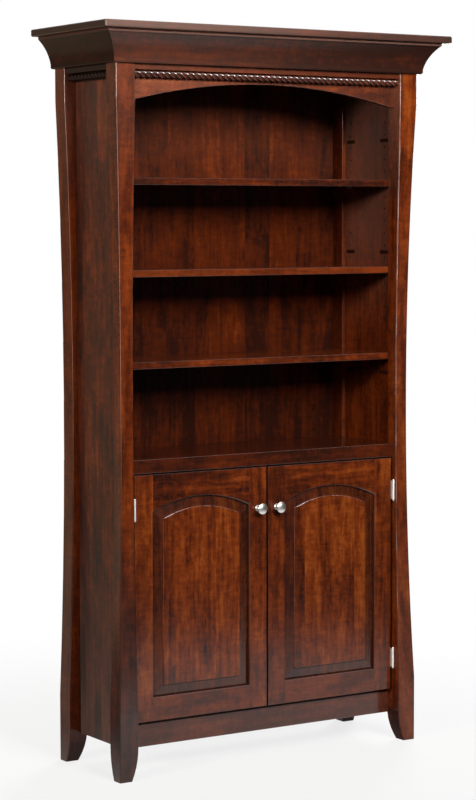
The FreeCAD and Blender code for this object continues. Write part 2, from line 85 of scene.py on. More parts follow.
BOARDS = {
    "top_slab": Board("X", -0.08, 0.6, "Y", edge=0.3, painted_sheen=0.17, fade=2.0, painted_right_shade=0.02, ends=0.18),
    "crown_front": Board("X", -0.12, 0.6, edge=0.0, sheen=0.4, painted_sheen=0.05, painted_right_shade=0.09),
    "crown_left": Board("Y", -0.19, 0.4, edge=0.0, sheen=0.25),
    "crown_right": Board("Y", -0.14, 0.4, edge=0.0, sheen=0.3),
    "frieze_front": Board("X", -0.02, 0.5, painted_sheen=0.06, painted_right_shade=0.03),
    "frieze_left": Board("Y", -0.26, 0.5, sheen=0.6),
    "frieze_right": Board("Y", -0.12, 0.5),
    "front_left_post": Board("Z", 0.03, 0.8, painted_foot_shade=0.14, sheen=0.85, painted_sheen=0.04, painted_floor_sheen=0.09,
                             painted_head_shade=0.09),
    "front_right_post": Board("Z", 0.01, 1.0, painted_foot_shade=-0.06, edge=0.8, sheen=0.7, painted_sheen=0.12, fade=1.0,
                              painted_floor_sheen=0.09, inner_painted_sheen=True, matt_painted_shade=True),
    "rear_left_post": Board("Z", 0.01, 0.6, painted_foot_shade=0.05, sheen=0.6, painted_sheen=0.06, painted_floor_sheen=0.25),
    "rear_right_post": Board("Z", -0.02, 0.6, painted_foot_shade=0.03, edge=0.2, sheen=0.4, fade=0.9, painted_floor_sheen=0.12),
    "left_side_panel": Board("Z", -0.04, 1.0, "Y", dull=0.28, painted_sheen=0.06, painted_floor_sheen=0.24),
    "right_side_panel": Board("Z", -0.02, 0.6, "Y", painted_sheen=0.09, painted_floor_sheen=0.12, painted_head_shade=0.09, painted_sheen_low=1.1),
    "arched_rail": Board("X", 0.05, 0.9, painted_sheen=0.08, painted_right_shade=0.14),
    "deck": Board("X", -0.10, 0.6, "Y", edge=0.3),
    "deck_rail": Board("X", -0.10, 0.7, edge=0.4),
    "bottom_rail": Board("X", -0.03, 0.7, painted_floor_sheen=0.05, matt_painted_shade=True),
    "cabinet_floor": Board("X", -0.02, 0.6, "Y"),
    "back_panel": Board("Z", -0.09, 0.6, "X", painted_foot_shade=0.12, shade_top=1.8, sheen=0.35, painted_sheen=0.03),
    "pocket_plugs": Board("Y", -0.30, 0.4, edge=0.0, dull=0.3, sheen=0.2),
    "door_stop": Board("X", -0.02, 0.6),
    "upper_shelf": Board("X", -0.06, 0.9, "Y", edge=0.3),
    "middle_shelf": Board("X", -0.02, 0.55, "Y", edge=0.3),
    "lower_shelf": Board("X", 0.00, 1.0, "Y", edge=0.3),
    "cabinet_shelf": Board("X", -0.02, 0.7, "Y", edge=0.25),
    "left_hinge_stile": Board("Z", 0.08, 1.0, edge=0.15, polish=0.13),
    "left_meeting_stile": Board("Z", 0.01, 1.0, edge=0.15, polish=0.13),
    "left_top_rail": Board("X", -0.08, 1.1, edge=0.15, polish=0.13),
    "left_bottom_rail": Board("X", 0.01, 0.8, edge=0.15, polish=0.13),
    "left_raised_panel": Board("Z", 0.06, 1.0, "X", edge=0.6, polish=0.13),
    "right_hinge_stile": Board("Z", 0.04, 1.0, edge=0.15, polish=0.13),
    "right_meeting_stile": Board("Z", -0.03, 1.0, edge=0.15, polish=0.13),
    "right_top_rail": Board("X", -0.02, 1.0, edge=0.15, polish=0.13),
    "right_bottom_rail": Board("X", 0.01, 0.8, edge=0.15, polish=0.13),
    "right_raised_panel": Board("Z", 0.03, 1.0, "X", edge=0.6, polish=0.13),
}
ROPES = {
    "rope_front": Board("X", -0.04, 0.4, edge=0.0, sheen=1.6),
    "rope_left": Board("Y", -0.28, 0.4, edge=0.0, dull=0.15, sheen=0.5),
    "rope_right": Board("Y", -0.24, 0.4, edge=0.0, dull=0.15, sheen=0.5),
}

DOOR_FRAME_NODES = tuple(side + name for side in ("left_", "right_")
                         for name in ("hinge_stile", "meeting_stile", "top_rail", "bottom_rail"))
SATIN_NODES = ("left_knob", "right_knob", "shelf_supports")
HINGE_NODES = ("left_hinge_frame_leaves", "right_hinge_frame_leaves", "left_hinge_pins", "right_hinge_pins",
               "left_hinge_door_leaves", "right_hinge_door_leaves")
STEEL_NODES = ("catch_magnets", "left_catch_strike", "right_catch_strike")

# The height of the crown's top fillet, and how pale a painted highlight makes each run of it.
CROWN_FILLET = 8.0 * MM
CROWN_PAINTED_HIGHLIGHT = {"crown_front": 0.30, "crown_left": 0.10, "crown_right": 0.30}
# The share of the painted shade that is left off a raised panel's margin that faces left, towards the light.
PANEL_LIT_SHARE = {"left_raised_panel": 0.2, "right_raised_panel": 1.0}


class Pattern(NamedTuple):
    """A noise pattern of the wood: its scale along and across the grain, then the settings of its noise."""
    along: float
    across: float
    scale: float
    detail: float
    roughness: float
    distortion: float


PATTERNS = {
    "streaks": Pattern(0.05, 1.0, 60.0, 4.0, 0.55, 0.3),
    "clouds": Pattern(0.33, 1.0, 15.0, 3.0, 0.5, 0.6),
    "mottle": Pattern(0.36, 1.0, 75.0, 5.0, 0.66, 0.4),
    "curl": Pattern(2.0, 0.7, 44.0, 1.0, 0.5, 0.6),
    "pores": Pattern(0.07, 1.0, 420.0, 2.0, 0.6, 0.0),
}
# How strongly each pattern shows in the figure, and the pores by themselves.
FIGURE_WEIGHTS = {"streaks": 0.36, "clouds": 0.50, "mottle": 0.42, "curl": 0.20}
PORE_SPAN = (0.05, 0.20)
PORE_DEPTH = 0.05
# How far the patterns of one board are moved from those of the board before it.
SEED_STEP = (1.37, 0.73, 2.11)
# How much the tones of staves differ, and how far the patterns of one are moved from those of the next.
STAVE_TONES = 0.13
STAVE_STEP_X = 0.37
STAVE_STEP_Z = 3.1
# Growth lines: how far the arches of one stave are scattered across and along the grain, where they start,
# how slim and how uneven they are, and how dark the lines are about their mean.
ARCH_SCATTER_ACROSS = 0.6
ARCH_SCATTER_ALONG = 1.7
ARCH_START = 0.55
ARCH_SLIMNESS = 0.055
ARCH_WOBBLE = 0.02
LINE_MEAN = 0.35
LINE_DEPTH = 0.04
# Places of the four stain colours on the scale from dark to light, and the middle of that scale.
STAIN_PLACES = (0.30, 0.45, 0.58, 0.76)
STAIN_MIDDLE = 0.5

# Heights in metres at which a board's finish, its painted shade, painted reflections and painted highlights
# change, and half the width of the case.
PAINTED_FOOT_SHADE_LOW = 0.15
PAINTED_HEAD_SHADE_SPAN = (1.35, 1.85)
PAINTED_SHEEN_RISE = 0.4
FADE_RISE = 0.8
EDGE_HIGHLIGHT_LOW = 0.4
PAINTED_FLOOR_SHEEN_SPAN = (0.05, 0.75)
CASE_HALF = 0.45
# The share of the painted reflection that is lost on end grain, and at the right end of a board with painted
# shade towards the right.
PAINTED_SHEEN_LOST = 0.7
# Rounded edges, by how far they turn away from the axes: a painted dark line of shade along them, and painted
# highlights in patches.
EDGE_LINE_SPAN = (0.006, 0.014)
EDGE_LINE_DEPTH = 0.5
EDGE_HIGHLIGHT_SPAN = (0.06, 0.25)
EDGE_PATCHES = (-0.35, -0.05)
EDGE_HIGHLIGHT_DEPTH = 0.40
# How much streaks, pores and faded varnish add to the roughness.
STREAK_ROUGHNESS = 0.10
PORE_ROUGHNESS = 0.06
FADED_ROUGHNESS = 0.14
# Painted shade, a dark colour standing in for shadow: how far it covers the wood's colour, how thick it has
# to be to turn matt, how rough it is then, and how thick it is on the inside of a foot and in the crown's
# corner.
PAINTED_SHADE_COVER = 0.85
PAINTED_SHADE_MATT_SPAN = (0.55, 0.75)
PAINTED_SHADE_ROUGHNESS = 0.3
FOOT_PAINTED_SHADE = 0.72
CORNER_PAINTED_SHADE = 0.5
# How dark plated metal gets where its polish is uneven.
TARNISH = 0.88


def colour(name, text, value):
    return bpy.props.FloatVectorProperty(name=name, description=text, subtype="COLOR", size=3, min=0, max=1,
                                         default=value)


def share(name, text, value):
    return bpy.props.FloatProperty(name=name, description=text, subtype="FACTOR", min=0, max=1, default=value)


def length(name, text, value):
    return bpy.props.FloatProperty(name=name, description=text, subtype="DISTANCE", unit="LENGTH", min=0,
                                   default=value)


def power(name, text, value):
    return bpy.props.FloatProperty(name=name, description=text, subtype="POWER", min=0, default=value)


def angle(name, text, degrees):
    return bpy.props.FloatProperty(name=name, description=text, subtype="ANGLE",
                                   default=math.radians(degrees))


class CherryFinish(bpy.types.PropertyGroup):
    """Stained cherry under a satin varnish, with the colours of its painted light and shade."""
    dark: colour("Dark figure", "Colour of the darkest streaks", (0.0180, 0.0042, 0.0022))
    ground: colour("Ground", "Colour of most of the wood", (0.0680, 0.0105, 0.0019))
    warm: colour("Warm figure", "Colour of the lighter figure", (0.1450, 0.0245, 0.0034))
    light: colour("Light figure", "Colour of the lightest flecks", (0.2700, 0.0620, 0.0090))
    # Painted highlight: the pale colour put on rounded edges and the crown's fillet where they catch the
    # light.
    painted_highlight: colour("Rubbed edges", "Colour where rounded edges are rubbed through", (0.500, 0.2600, 0.2000))
    # Painted reflection: the pale sheen put on the varnish where it would reflect pale surroundings.
    painted_sheen: colour("Bloom", "Colour of the pale bloom on the varnish", (0.420, 0.2800, 0.2200))
    # Painted reflection: the grey of the pale floor reflected in the varnish low down.
    painted_floor_sheen_colour: colour("Scuffs", "Colour of the scuffed varnish near the floor", (0.210, 0.1950, 0.1800))
    # Painted shade: the dark colour put in grooves, holes, corners and recesses where shadow falls.
    painted_shade: colour("Glaze", "Colour of the glaze in corners and grooves", (0.0060, 0.0018, 0.0010))
    stave_width: length("Stave width", "Width of the staves that wide boards are glued up from", 84.0 * MM)
    ring_width: length("Ring width", "Distance between growth lines at the middle of a stave", 14.0 * MM)
    roughness: share("Roughness", "Roughness of the varnished wood", 0.22)
    specular: share("Specular", "Strength of the wood's own reflection", 0.40)
    coat: share("Varnish", "Weight of the clear coat", 0.30)
    coat_roughness: share("Varnish roughness", "Roughness of the clear coat", 0.07)


class NickelFinish(bpy.types.PropertyGroup):
    """Plated hardware."""
    satin: colour("Satin nickel", "Colour of knobs and shelf supports", (0.86, 0.83, 0.78))
    satin_roughness: share("Satin roughness", "Roughness of knobs and shelf supports", 0.34)
    bright: colour("Bright nickel", "Colour of the hinges", (0.96, 0.93, 0.89))
    bright_roughness: share("Bright roughness", "Roughness of the hinges", 0.58)
    steel: colour("Plain steel", "Colour of magnets and strikes", (0.42, 0.42, 0.42))
    steel_roughness: share("Steel roughness", "Roughness of magnets and strikes", 0.38)
    brushing: share("Brushing", "How much the brushing changes the roughness", 0.10)
    hinge_brushing: share("Hinge brushing", "The same on the hinges", 0.06)


class RopeForm(bpy.types.PropertyGroup):
    """The twisted moulding under the frieze."""
    radius: length("Radius", "Outer radius of the rope", 9.5 * MM)
    strand_radius: length("Strand radius", "Radius of one strand", 5.2 * MM)
    lead: length("Lead", "Length of one full turn", 55.0 * MM)
    ring_step: length("Ring step", "Distance between rings of points", 1.4 * MM)
    strands: bpy.props.IntProperty(name="Strands", description="Number of strands", min=2, max=6, default=3)
    strand_points: bpy.props.IntProperty(name="Points", description="Points across one strand", min=4, max=24,
                                         default=9)


class StudioSet(bpy.types.PropertyGroup):
    """Floor, lights and camera."""
    floor: colour("Floor", "Colour of the floor as it is seen", (0.86, 0.86, 0.86))
    floor_glow: share("Floor glow", "Share of plain white in the floor under the bookcase", 0.8)
    bounce: colour("Floor bounce", "Colour that the floor throws back on the bookcase", (0.20, 0.19, 0.18))
    wall: colour("Dark cloth", "Colour of the cloth that reflections see", (0.045, 0.040, 0.036))
    pale_wall: colour("Pale cloth", "Colour of that cloth behind the left side", (0.38, 0.34, 0.23))
    ambient: bpy.props.FloatProperty(name="Ambient", description="Light from all round", min=0, default=0.04)
    key_power: power("Key light", "Power of the front light", 56)
    side_power: power("Side light", "Power of the left light", 180)
    side_tint: colour("Side tint", "Colour of the left light", (1.0, 0.90, 0.82))
    rear_power: power("Rear light", "Power of the light behind the right side", 230)
    camera_place: bpy.props.FloatVectorProperty(name="Camera", description="Where the camera stands",
                                                subtype="TRANSLATION", unit="LENGTH", size=3,
                                                default=(-3.46797, -5.34071, 1.47291))
    camera_yaw: angle("Yaw", "Turn to the right of straight on", 32.78)
    camera_pitch: angle("Pitch", "Tilt below the horizon", 4.42)
    camera_roll: angle("Roll", "Turn about the line of sight", -0.12)
    camera_lens: bpy.props.FloatProperty(name="Lens", description="Focal length in millimetres", min=1,
                                         default=104.46)


class BookcaseSettings(bpy.types.PropertyGroup):
    """Every setting of the bookcase and its studio."""
    cherry: bpy.props.PointerProperty(type=CherryFinish)
    nickel: bpy.props.PointerProperty(type=NickelFinish)
    rope: bpy.props.PointerProperty(type=RopeForm)
    studio: bpy.props.PointerProperty(type=StudioSet)


class Shade:
    """A shader output that works in sums, and that makes the other nodes of its tree."""

    def __init__(self, tree, socket=None):
        self.tree = tree
        self.socket = socket

    def node(self, kind, settings=None, inputs=None, output=0):
        """Adds a node, with its settings first and then its inputs, and gives one of its outputs."""
        made = self.tree.nodes.new(kind)
        for name, value in (settings or {}).items():
            if name == "stops":
                fill_ramp(made.color_ramp, value)
            else:
                setattr(made, name, value)
        for key, value in (inputs or {}).items():
            if isinstance(value, Shade):
                self.tree.links.new(value.socket, made.inputs[key])
            else:
                made.inputs[key].default_value = value
        return Shade(self.tree, made.outputs[output] if made.outputs else None)

    def maths(self, operation, first, second):
        return self.node("ShaderNodeMath", {"operation": operation}, {0: first, 1: second})

    def __add__(self, other):
        return self.maths("ADD", self, other)

    def __sub__(self, other):
        return self.maths("SUBTRACT", self, other)

    def __rsub__(self, other):
        return self.maths("SUBTRACT", other, self)

    def __mul__(self, other):
        return self.maths("MULTIPLY", self, other)

    def __abs__(self):
        return self.node("ShaderNodeMath", {"operation": "ABSOLUTE"}, {0: self})

    __radd__ = __add__
    __rmul__ = __mul__

    def above(self, low, high):
        """0 below low, 1 above high, and smooth between."""
        return self.node("ShaderNodeMapRange", {"interpolation_type": "SMOOTHSTEP"},
                         {0: self, 1: low, 2: high})

    def vector(self, operation, first, second):
        return self.node("ShaderNodeVectorMath", {"operation": operation}, {0: first, 1: second})

    def length(self):
        return self.node("ShaderNodeVectorMath", {"operation": "LENGTH"}, {0: self}, "Value")

    def dot(self, other):
        return self.node("ShaderNodeVectorMath", {"operation": "DOT_PRODUCT"}, {0: self, 1: other}, "Value")

    def split(self):
        """The three parts of a vector, by axis letter."""
        parts = self.node("ShaderNodeSeparateXYZ", inputs={0: self}).socket.node.outputs
        return {letter: Shade(self.tree, part) for letter, part in zip("XYZ", parts)}

    def noise(self, where, scale, detail, roughness=0.5, distortion=0.0):
        return self.node("ShaderNodeTexNoise", inputs={"Vector": where, "Scale": scale, "Detail": detail,
                                                       "Roughness": roughness, "Distortion": distortion})

    def ramp(self, stops):
        return self.node("ShaderNodeValToRGB", {"stops": stops}, {0: self})

    def mix(self, factor, first, second):
        """Blends two colours. The colour sockets go by number, because their names aren't unique."""
        return self.node("ShaderNodeMix", {"data_type": "RGBA"}, {0: factor, 6: first, 7: second}, 2)

    def bump(self, strength, distance):
        return self.node("ShaderNodeBump", inputs={"Strength": strength, "Distance": distance,
                                                   "Height": self})


class Surface:
    """A spot on a piece, and the way that the piece faces there, for the masks of one material."""

    def __init__(self, make):
        self.make = make
        self.spot = make.node("ShaderNodeTexCoord", output="Object")
        self.facing = make.node("ShaderNodeTexCoord", output="Normal")
        self.at = self.spot.split()
        self.towards = self.facing.split()
        self.turned = {letter: abs(part) for letter, part in self.towards.items()}


def opaque(tint):
    return (*tint, 1.0)


def fill_ramp(ramp, stops):
    """Sets a colour ramp to (place, colour) stops."""
    while len(ramp.elements) < len(stops):
        ramp.elements.new(1.0)
    for element, (place, value) in zip(ramp.elements, stops):
        element.position = place
        element.color = opaque(value)


def new_material(name):
    """An empty node material and the maker of its nodes."""
    material = bpy.data.materials.new(name)
    material.use_nodes = True
    material.node_tree.nodes.clear()
    return material, Shade(material.node_tree)


def show(make, shader):
    make.node("ShaderNodeOutputMaterial", inputs={"Surface": shader})


def along(axis, length_share, across_share=1.0):
    """One scale along an axis and another across it."""
    return tuple(length_share if letter == axis else across_share for letter in "XYZ")


def rope_groove(surface, middle, axis, form):
    """Painted shade in the grooves of a rope along an axis. middle is a point on the rope's axis."""
    make = surface.make
    across = make.vector("MULTIPLY", make.vector("SUBTRACT", surface.spot, middle), along(axis, 0.0))
    return 1 - across.length().above(form.radius * 0.78, form.radius * 0.98)


def pin_holes(surface, inner, outer):
    """Painted shade inside the holes of a side panel whose faces stand inner and outer from the case's
    middle.
    """
    aside = abs(surface.at["X"])
    past_inner_face = aside.above(inner + 0.05 * MM, inner + 0.25 * MM)
    at_outer_face = aside.above(outer - 0.6 * MM, outer - 0.2 * MM)
    return past_inner_face * (1 - at_outer_face)


def crown_fillet(surface, low, painted_highlight):
    """How far a painted highlight lightens the fillet along the crown's top, with its lower edge at the Z
    low.
    """
    return surface.at["Z"].above(low, low + 0.5 * MM) * painted_highlight


def crown_corner(surface, low):
    """Painted shade in the corner under that fillet."""
    height = surface.at["Z"]
    in_corner = height.above(low - 5.0 * MM, low - 2.0 * MM) * (1 - height.above(low - 0.5 * MM, low))
    return in_corner * CORNER_PAINTED_SHADE


def inner_side(surface):
    """1 on faces that look towards the case's middle from its left or right."""
    inward = surface.make.vector("MULTIPLY", surface.spot, (-1.0, 0.0, 0.0))
    return inward.dot(surface.facing).above(0.2, 0.4)


def foot_inside(surface, top):
    """Painted shade on the inner side of a foot, fading out above the Z top."""
    low = 1 - surface.at["Z"].above(top + 6.0 * MM, top + 30.0 * MM)
    return inner_side(surface) * low * FOOT_PAINTED_SHADE


def door_shadow(surface, foot):
    """Painted shadow along the bottom rail where the doors' lower edges, at the Z foot, hang in front of it.
    """
    height = surface.at["Z"]
    return height.above(foot - 12.0 * MM, foot - 9.0 * MM) * (1 - height.above(foot, foot + 4.0 * MM))


def frame_edges(surface, middle):
    """Painted shade on a door frame's edges: all of it on those that face the panel, whose centre is middle.
    """
    towards_panel = surface.make.vector("SUBTRACT", middle, surface.spot).dot(surface.facing)
    return (towards_panel.above(0.05, 0.09) * 0.4 + 0.6) * (1 - surface.turned["Y"].above(0.2, 0.6))


def panel_slope(surface, front, foot, lit_share):
    """Painted shade on a raised panel: a painted shadow along the foot of its field, thin shade on its
    margins, and more where they meet the frame. front is the Y of the field's face, foot the Z of its lower
    edge, and the last the share of the painted shade that is left off the margin that faces left, towards the
    light."""
    depth = surface.at["Y"] - front
    below = 1 - surface.at["Z"].above(foot - 0.2 * MM, foot + 1.0 * MM)
    line = below * depth.above(2.0 * MM, 2.8 * MM) * (1 - depth.above(3.2 * MM, 3.8 * MM))
    margin = depth.above(3.2 * MM, 4.4 * MM) * 0.30 + depth.above(7.2 * MM, 7.9 * MM) * 0.24
    leftward = (0 - surface.towards["X"]).above(0.08, 0.15)
    return surface.make.maths("MAXIMUM", line, margin * (1 - leftward * lit_share))


def painted_shade_mask(node):
    """The function that masks the painted shade on a board's surface, or None for a board without any."""
    if node in CROWN_PAINTED_HIGHLIGHT:
        return partial(crown_corner, low=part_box(node)[1].z - CROWN_FILLET)
    if node == "bottom_rail":
        return partial(door_shadow, foot=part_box("left_bottom_rail")[0].z)
    if node == "front_right_post":
        return partial(foot_inside, top=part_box("bottom_rail")[0].z)
    if node in DOOR_FRAME_NODES:
        low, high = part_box(node.split("_")[0] + "_raised_panel")
        return partial(frame_edges, middle=(low + high) / 2)
    if node.endswith("side_panel"):
        inner, outer = sorted(abs(corner.x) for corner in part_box(node))
        return partial(pin_holes, inner=inner, outer=outer)
    if node in PANEL_LIT_SHARE:
        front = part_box(node)[0].y
        points = [vertex.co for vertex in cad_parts[node].data.vertices]
        foot = min(point.z for point in points if point.y < front + 0.1 * MM)
        return partial(panel_slope, front=front, foot=foot, lit_share=PANEL_LIT_SHARE[node])
    return None


def painted_highlight_mask(node):
    """The function that masks where a highlight is painted pale on a board besides its edges, or None for
    most boards.
    """
    if node in CROWN_PAINTED_HIGHLIGHT:
        return partial(crown_fillet, low=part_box(node)[1].z - CROWN_FILLET, painted_highlight=CROWN_PAINTED_HIGHLIGHT[node])
    return None


def end_grain(surface, board):
    """1 on the faces that the grain runs into."""
    return surface.turned[board.grain].above(0.7, 0.95)


def rightward(surface):
    """0 at the left of the case, 1 at its right."""
    return surface.at["X"].above(-CASE_HALF, CASE_HALF)


def board_tone(surface, board):
    """How light a board's colour is: its stain and darker end grain, with painted shade from foot to head and
    towards the right.
    """
    height = surface.at["Z"]
    lower = 1 - height.above(PAINTED_FOOT_SHADE_LOW, board.shade_top)
    tone = board.tone + STAIN_MIDDLE - lower * board.painted_foot_shade - end_grain(surface, board) * board.ends
    if board.painted_head_shade:
        tone = tone - height.above(*PAINTED_HEAD_SHADE_SPAN) * board.painted_head_shade
    if board.painted_right_shade:
        tone = tone - rightward(surface) * board.painted_right_shade
    return tone


def stave_cut(surface, place, board, finish):
    """For the staves of a wide board: a chance about 0 for each, the distance across from the middle of its
    arches, and how far its patterns are moved."""
    make = surface.make
    course = place.split()[board.staves] * (1 / finish.stave_width)
    stave = make.maths("FLOOR", course, 0.0)
    chance = make.node("ShaderNodeTexWhiteNoise", {"noise_dimensions": "1D"}, {"W": stave}) - 0.5
    across = (course - stave - 0.5 + chance * ARCH_SCATTER_ACROSS) * finish.stave_width
    moved = make.node("ShaderNodeCombineXYZ", inputs={"X": stave * STAVE_STEP_X, "Z": stave * STAVE_STEP_Z})
    return chance, across, moved


def growth_lines(make, across, lengthwise, wobble, finish):
    """1 on the dark lines that run in long nested arches where a stave is cut flat. across and lengthwise
    count from the middle of the arches."""
    arch = make.node("ShaderNodeCombineXYZ", inputs={"X": across, "Y": lengthwise * ARCH_SLIMNESS})
    ring = arch.length() + wobble * ARCH_WOBBLE
    return make.maths("SINE", ring * (2 * math.pi / finish.ring_width), 0.0).above(0.0, 0.9)


def grain_patterns(make, place, axis):
    """The noise patterns of the wood by name, each about 0 and drawn out along the grain."""
    made = {}
    for name, pattern in PATTERNS.items():
        where = make.vector("MULTIPLY", place, along(axis, pattern.along, pattern.across))
        noise = make.noise(where, pattern.scale, pattern.detail, pattern.roughness, pattern.distortion)
        made[name] = noise - 0.5
    return made


def wood_colour(surface, board, seed, finish):
    """The colour of a board's stain with its painted shade, and the patterns of its grain by name."""
    make = surface.make
    tone = board_tone(surface, board)
    place = make.vector("ADD", surface.spot, tuple(seed * step for step in SEED_STEP))
    if board.staves:
        chance, across, moved = stave_cut(surface, place, board, finish)
        tone = tone + chance * (STAVE_TONES * board.figure)
        place = make.vector("ADD", place, moved)
    grain = grain_patterns(make, place, board.grain)
    figure = sum(grain[name] * weight for name, weight in FIGURE_WEIGHTS.items())
    if board.staves:
        lengthwise = surface.at[board.grain] - chance * ARCH_SCATTER_ALONG - ARCH_START
        lines = growth_lines(make, across, lengthwise, grain["clouds"], finish)
        figure = figure + (LINE_MEAN - lines) * LINE_DEPTH
    lightness = figure * board.figure + tone - grain["pores"].above(*PORE_SPAN) * PORE_DEPTH
    colours = (finish.dark, finish.ground, finish.warm, finish.light)
    return lightness.ramp(list(zip(STAIN_PLACES, colours))), grain


def painted_edge_light(surface, board, base_colour, clouds, finish):
    """The colour with painted shade as a dark line along rounded edges, and painted highlights on them in
    patches.
    """
    make = surface.make
    turned = surface.turned
    tilt = 1 - make.maths("MAXIMUM", turned["X"], make.maths("MAXIMUM", turned["Y"], turned["Z"]))
    edge_shade_line = make.mix(tilt.above(*EDGE_LINE_SPAN) * EDGE_LINE_DEPTH, base_colour, opaque(finish.dark))
    # Painted highlights where rounded edges catch the light, in patches; on posts they fade out lower down.
    edge_highlight = tilt.above(*EDGE_HIGHLIGHT_SPAN) * clouds.above(*EDGE_PATCHES) * (EDGE_HIGHLIGHT_DEPTH * board.edge)
    if board.painted_foot_shade:
        low = board.fade or EDGE_HIGHLIGHT_LOW
        edge_highlight = edge_highlight * surface.at["Z"].above(low, low + FADE_RISE)
    return make.mix(edge_highlight, edge_shade_line, opaque(finish.painted_highlight))


def painted_sheen_cover(surface, board):
    """How far the painted reflection, a pale sheen, covers a board: more towards the top, and less on end
    grain.
    """
    risen = surface.at["Z"].above(board.painted_sheen_low, board.painted_sheen_low + PAINTED_SHEEN_RISE)
    cover = risen * (1 - end_grain(surface, board) * PAINTED_SHEEN_LOST) * board.painted_sheen
    if board.inner_painted_sheen:
        cover = cover * inner_side(surface)
    if board.painted_right_shade:
        cover = cover * (1 - rightward(surface) * PAINTED_SHEEN_LOST)
    return cover


def painted_floor_sheen_cover(surface, board, clouds):
    """How far a painted reflection of the floor greys a board's outer faces, in patches near the floor."""
    outward = surface.make.vector("MULTIPLY", surface.spot, (1.0, 1.0, 0.0)).dot(surface.facing)
    patches = clouds * 1.2 + 1.0
    return (1 - surface.at["Z"].above(*PAINTED_FLOOR_SHEEN_SPAN)) * outward.above(0.02, 0.08) * patches * board.painted_floor_sheen


def cherry(name, board, seed, painted_shade=None, painted_highlight=None):
    """Stained cherry under varnish, with painted light and shade. The first mask gives the places where shade
    is painted dark on the surface, and the second those where a highlight is painted pale."""
    finish = bpy.context.scene.bookcase.cherry
    material, make = new_material(name)
    surface = Surface(make)
    base_colour, grain = wood_colour(surface, board, seed, finish)
    uneven = grain["streaks"] * STREAK_ROUGHNESS + grain["pores"] * PORE_ROUGHNESS
    roughness = uneven + (finish.roughness + board.dull)
    coat = finish.coat * board.sheen
    metallic = 0.0
    # Painted shade and painted highlights along rounded edges.
    if board.edge:
        base_colour = painted_edge_light(surface, board, base_colour, grain["clouds"], finish)
    # Painted highlight on the crown's fillet, which would otherwise lie in the slab's shadow.
    if painted_highlight:
        base_colour = make.mix(painted_highlight(surface), base_colour, opaque(finish.painted_highlight))
    if board.polish:
        upright_edge = make.maths("MINIMUM", surface.turned["X"], surface.turned["Y"]).above(0.2, 0.4)
        roughness = roughness - upright_edge * board.polish
    if board.fade:
        shiny = surface.at["Z"].above(board.fade, board.fade + FADE_RISE)
        coat = shiny * coat
        roughness = roughness + (1 - shiny) * FADED_ROUGHNESS
    # Painted reflection: a pale sheen mixed into the colour.
    if board.painted_sheen:
        base_colour = make.mix(painted_sheen_cover(surface, board), base_colour, opaque(finish.painted_sheen))
    # Painted reflection of the floor on the lower outer faces.
    if board.painted_floor_sheen:
        base_colour = make.mix(painted_floor_sheen_cover(surface, board, grain["clouds"]), base_colour, opaque(finish.painted_floor_sheen_colour))
    # Painted shade: the masked places are darkened and lose their shine, as if they lay in shadow.
    if painted_shade:
        painted_shading = painted_shade(surface)
        base_colour = make.mix(painted_shading * PAINTED_SHADE_COVER, base_colour, opaque(finish.painted_shade))
        matt = painted_shading.above(*PAINTED_SHADE_MATT_SPAN)
        roughness = roughness + matt * PAINTED_SHADE_ROUGHNESS
        coat = coat - matt * coat
        # A metallic painted shade reflects only its own dark colour, so reflections don't lighten it.
        if board.matt_painted_shade:
            metallic = matt
    relief = grain["pores"] * 0.7 + grain["streaks"] * 0.3
    wood = make.node("ShaderNodeBsdfPrincipled", inputs={
        "Base Color": base_colour, "Metallic": metallic, "Roughness": roughness,
        "Normal": relief.bump(strength=0.08, distance=0.3 * MM),
        "Specular IOR Level": finish.specular * board.sheen, "Coat Weight": coat,
        "Coat Roughness": finish.coat_roughness + board.dull, "Coat IOR": 1.5})
    show(make, wood)
    return material


def nickel(name, tint, roughness, brushing):
    """Plated metal with faint brushing and a little uneven polish."""
    material, make = new_material(name)
    place = make.node("ShaderNodeTexCoord", output="Object")
    drawn_out = make.vector("MULTIPLY", place, (1.0, 1.0, 14.0))
    lines = make.noise(drawn_out, scale=260.0, detail=3.0, roughness=0.6)
    clouds = make.noise(place, scale=90.0, detail=2.0)
    tinted = make.mix(clouds, opaque(TARNISH * part for part in tint), opaque(tint))
    metal = make.node("ShaderNodeBsdfPrincipled", inputs={
        "Base Color": tinted, "Metallic": 1.0, "Roughness": (lines - 0.5) * brushing + roughness,
        "Normal": lines.bump(strength=0.05, distance=0.05 * MM)})
    show(make, metal)
    return material


def dress(node, material):
    """Gives a node of the frame its finish."""
    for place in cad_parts[node].material_slots:
        place.material = material


def mesh_object(name, mesh_maker, material):
    """An object of this script's own, in the frame's coordinates."""
    mesh = bpy.data.meshes.new(name)
    mesh_maker.to_mesh(mesh)
    mesh_maker.free()
    mesh.materials.append(material)
    piece = bpy.data.objects.new(name, mesh)
    bpy.context.scene.collection.objects.link(piece)
    return piece


def rope_section(form):
    """The rope's section as (radius, angle) points: round strands that meet in narrow grooves."""
    reach = form.radius - form.strand_radius
    half = math.pi / form.strands
    valley = reach * math.cos(half) + math.sqrt(form.strand_radius ** 2 - (reach * math.sin(half)) ** 2)
    swing = math.atan2(valley * math.sin(half), valley * math.cos(half) - reach)
    points = []
    for strand in range(form.strands):
        for step in range(form.strand_points):
            bend = -swing + 2 * swing * step / form.strand_points
            across = reach + form.strand_radius * math.cos(bend)
            aside = form.strand_radius * math.sin(bend)
            points.append((math.hypot(across, aside), 2 * half * strand + math.atan2(aside, across)))
    return points


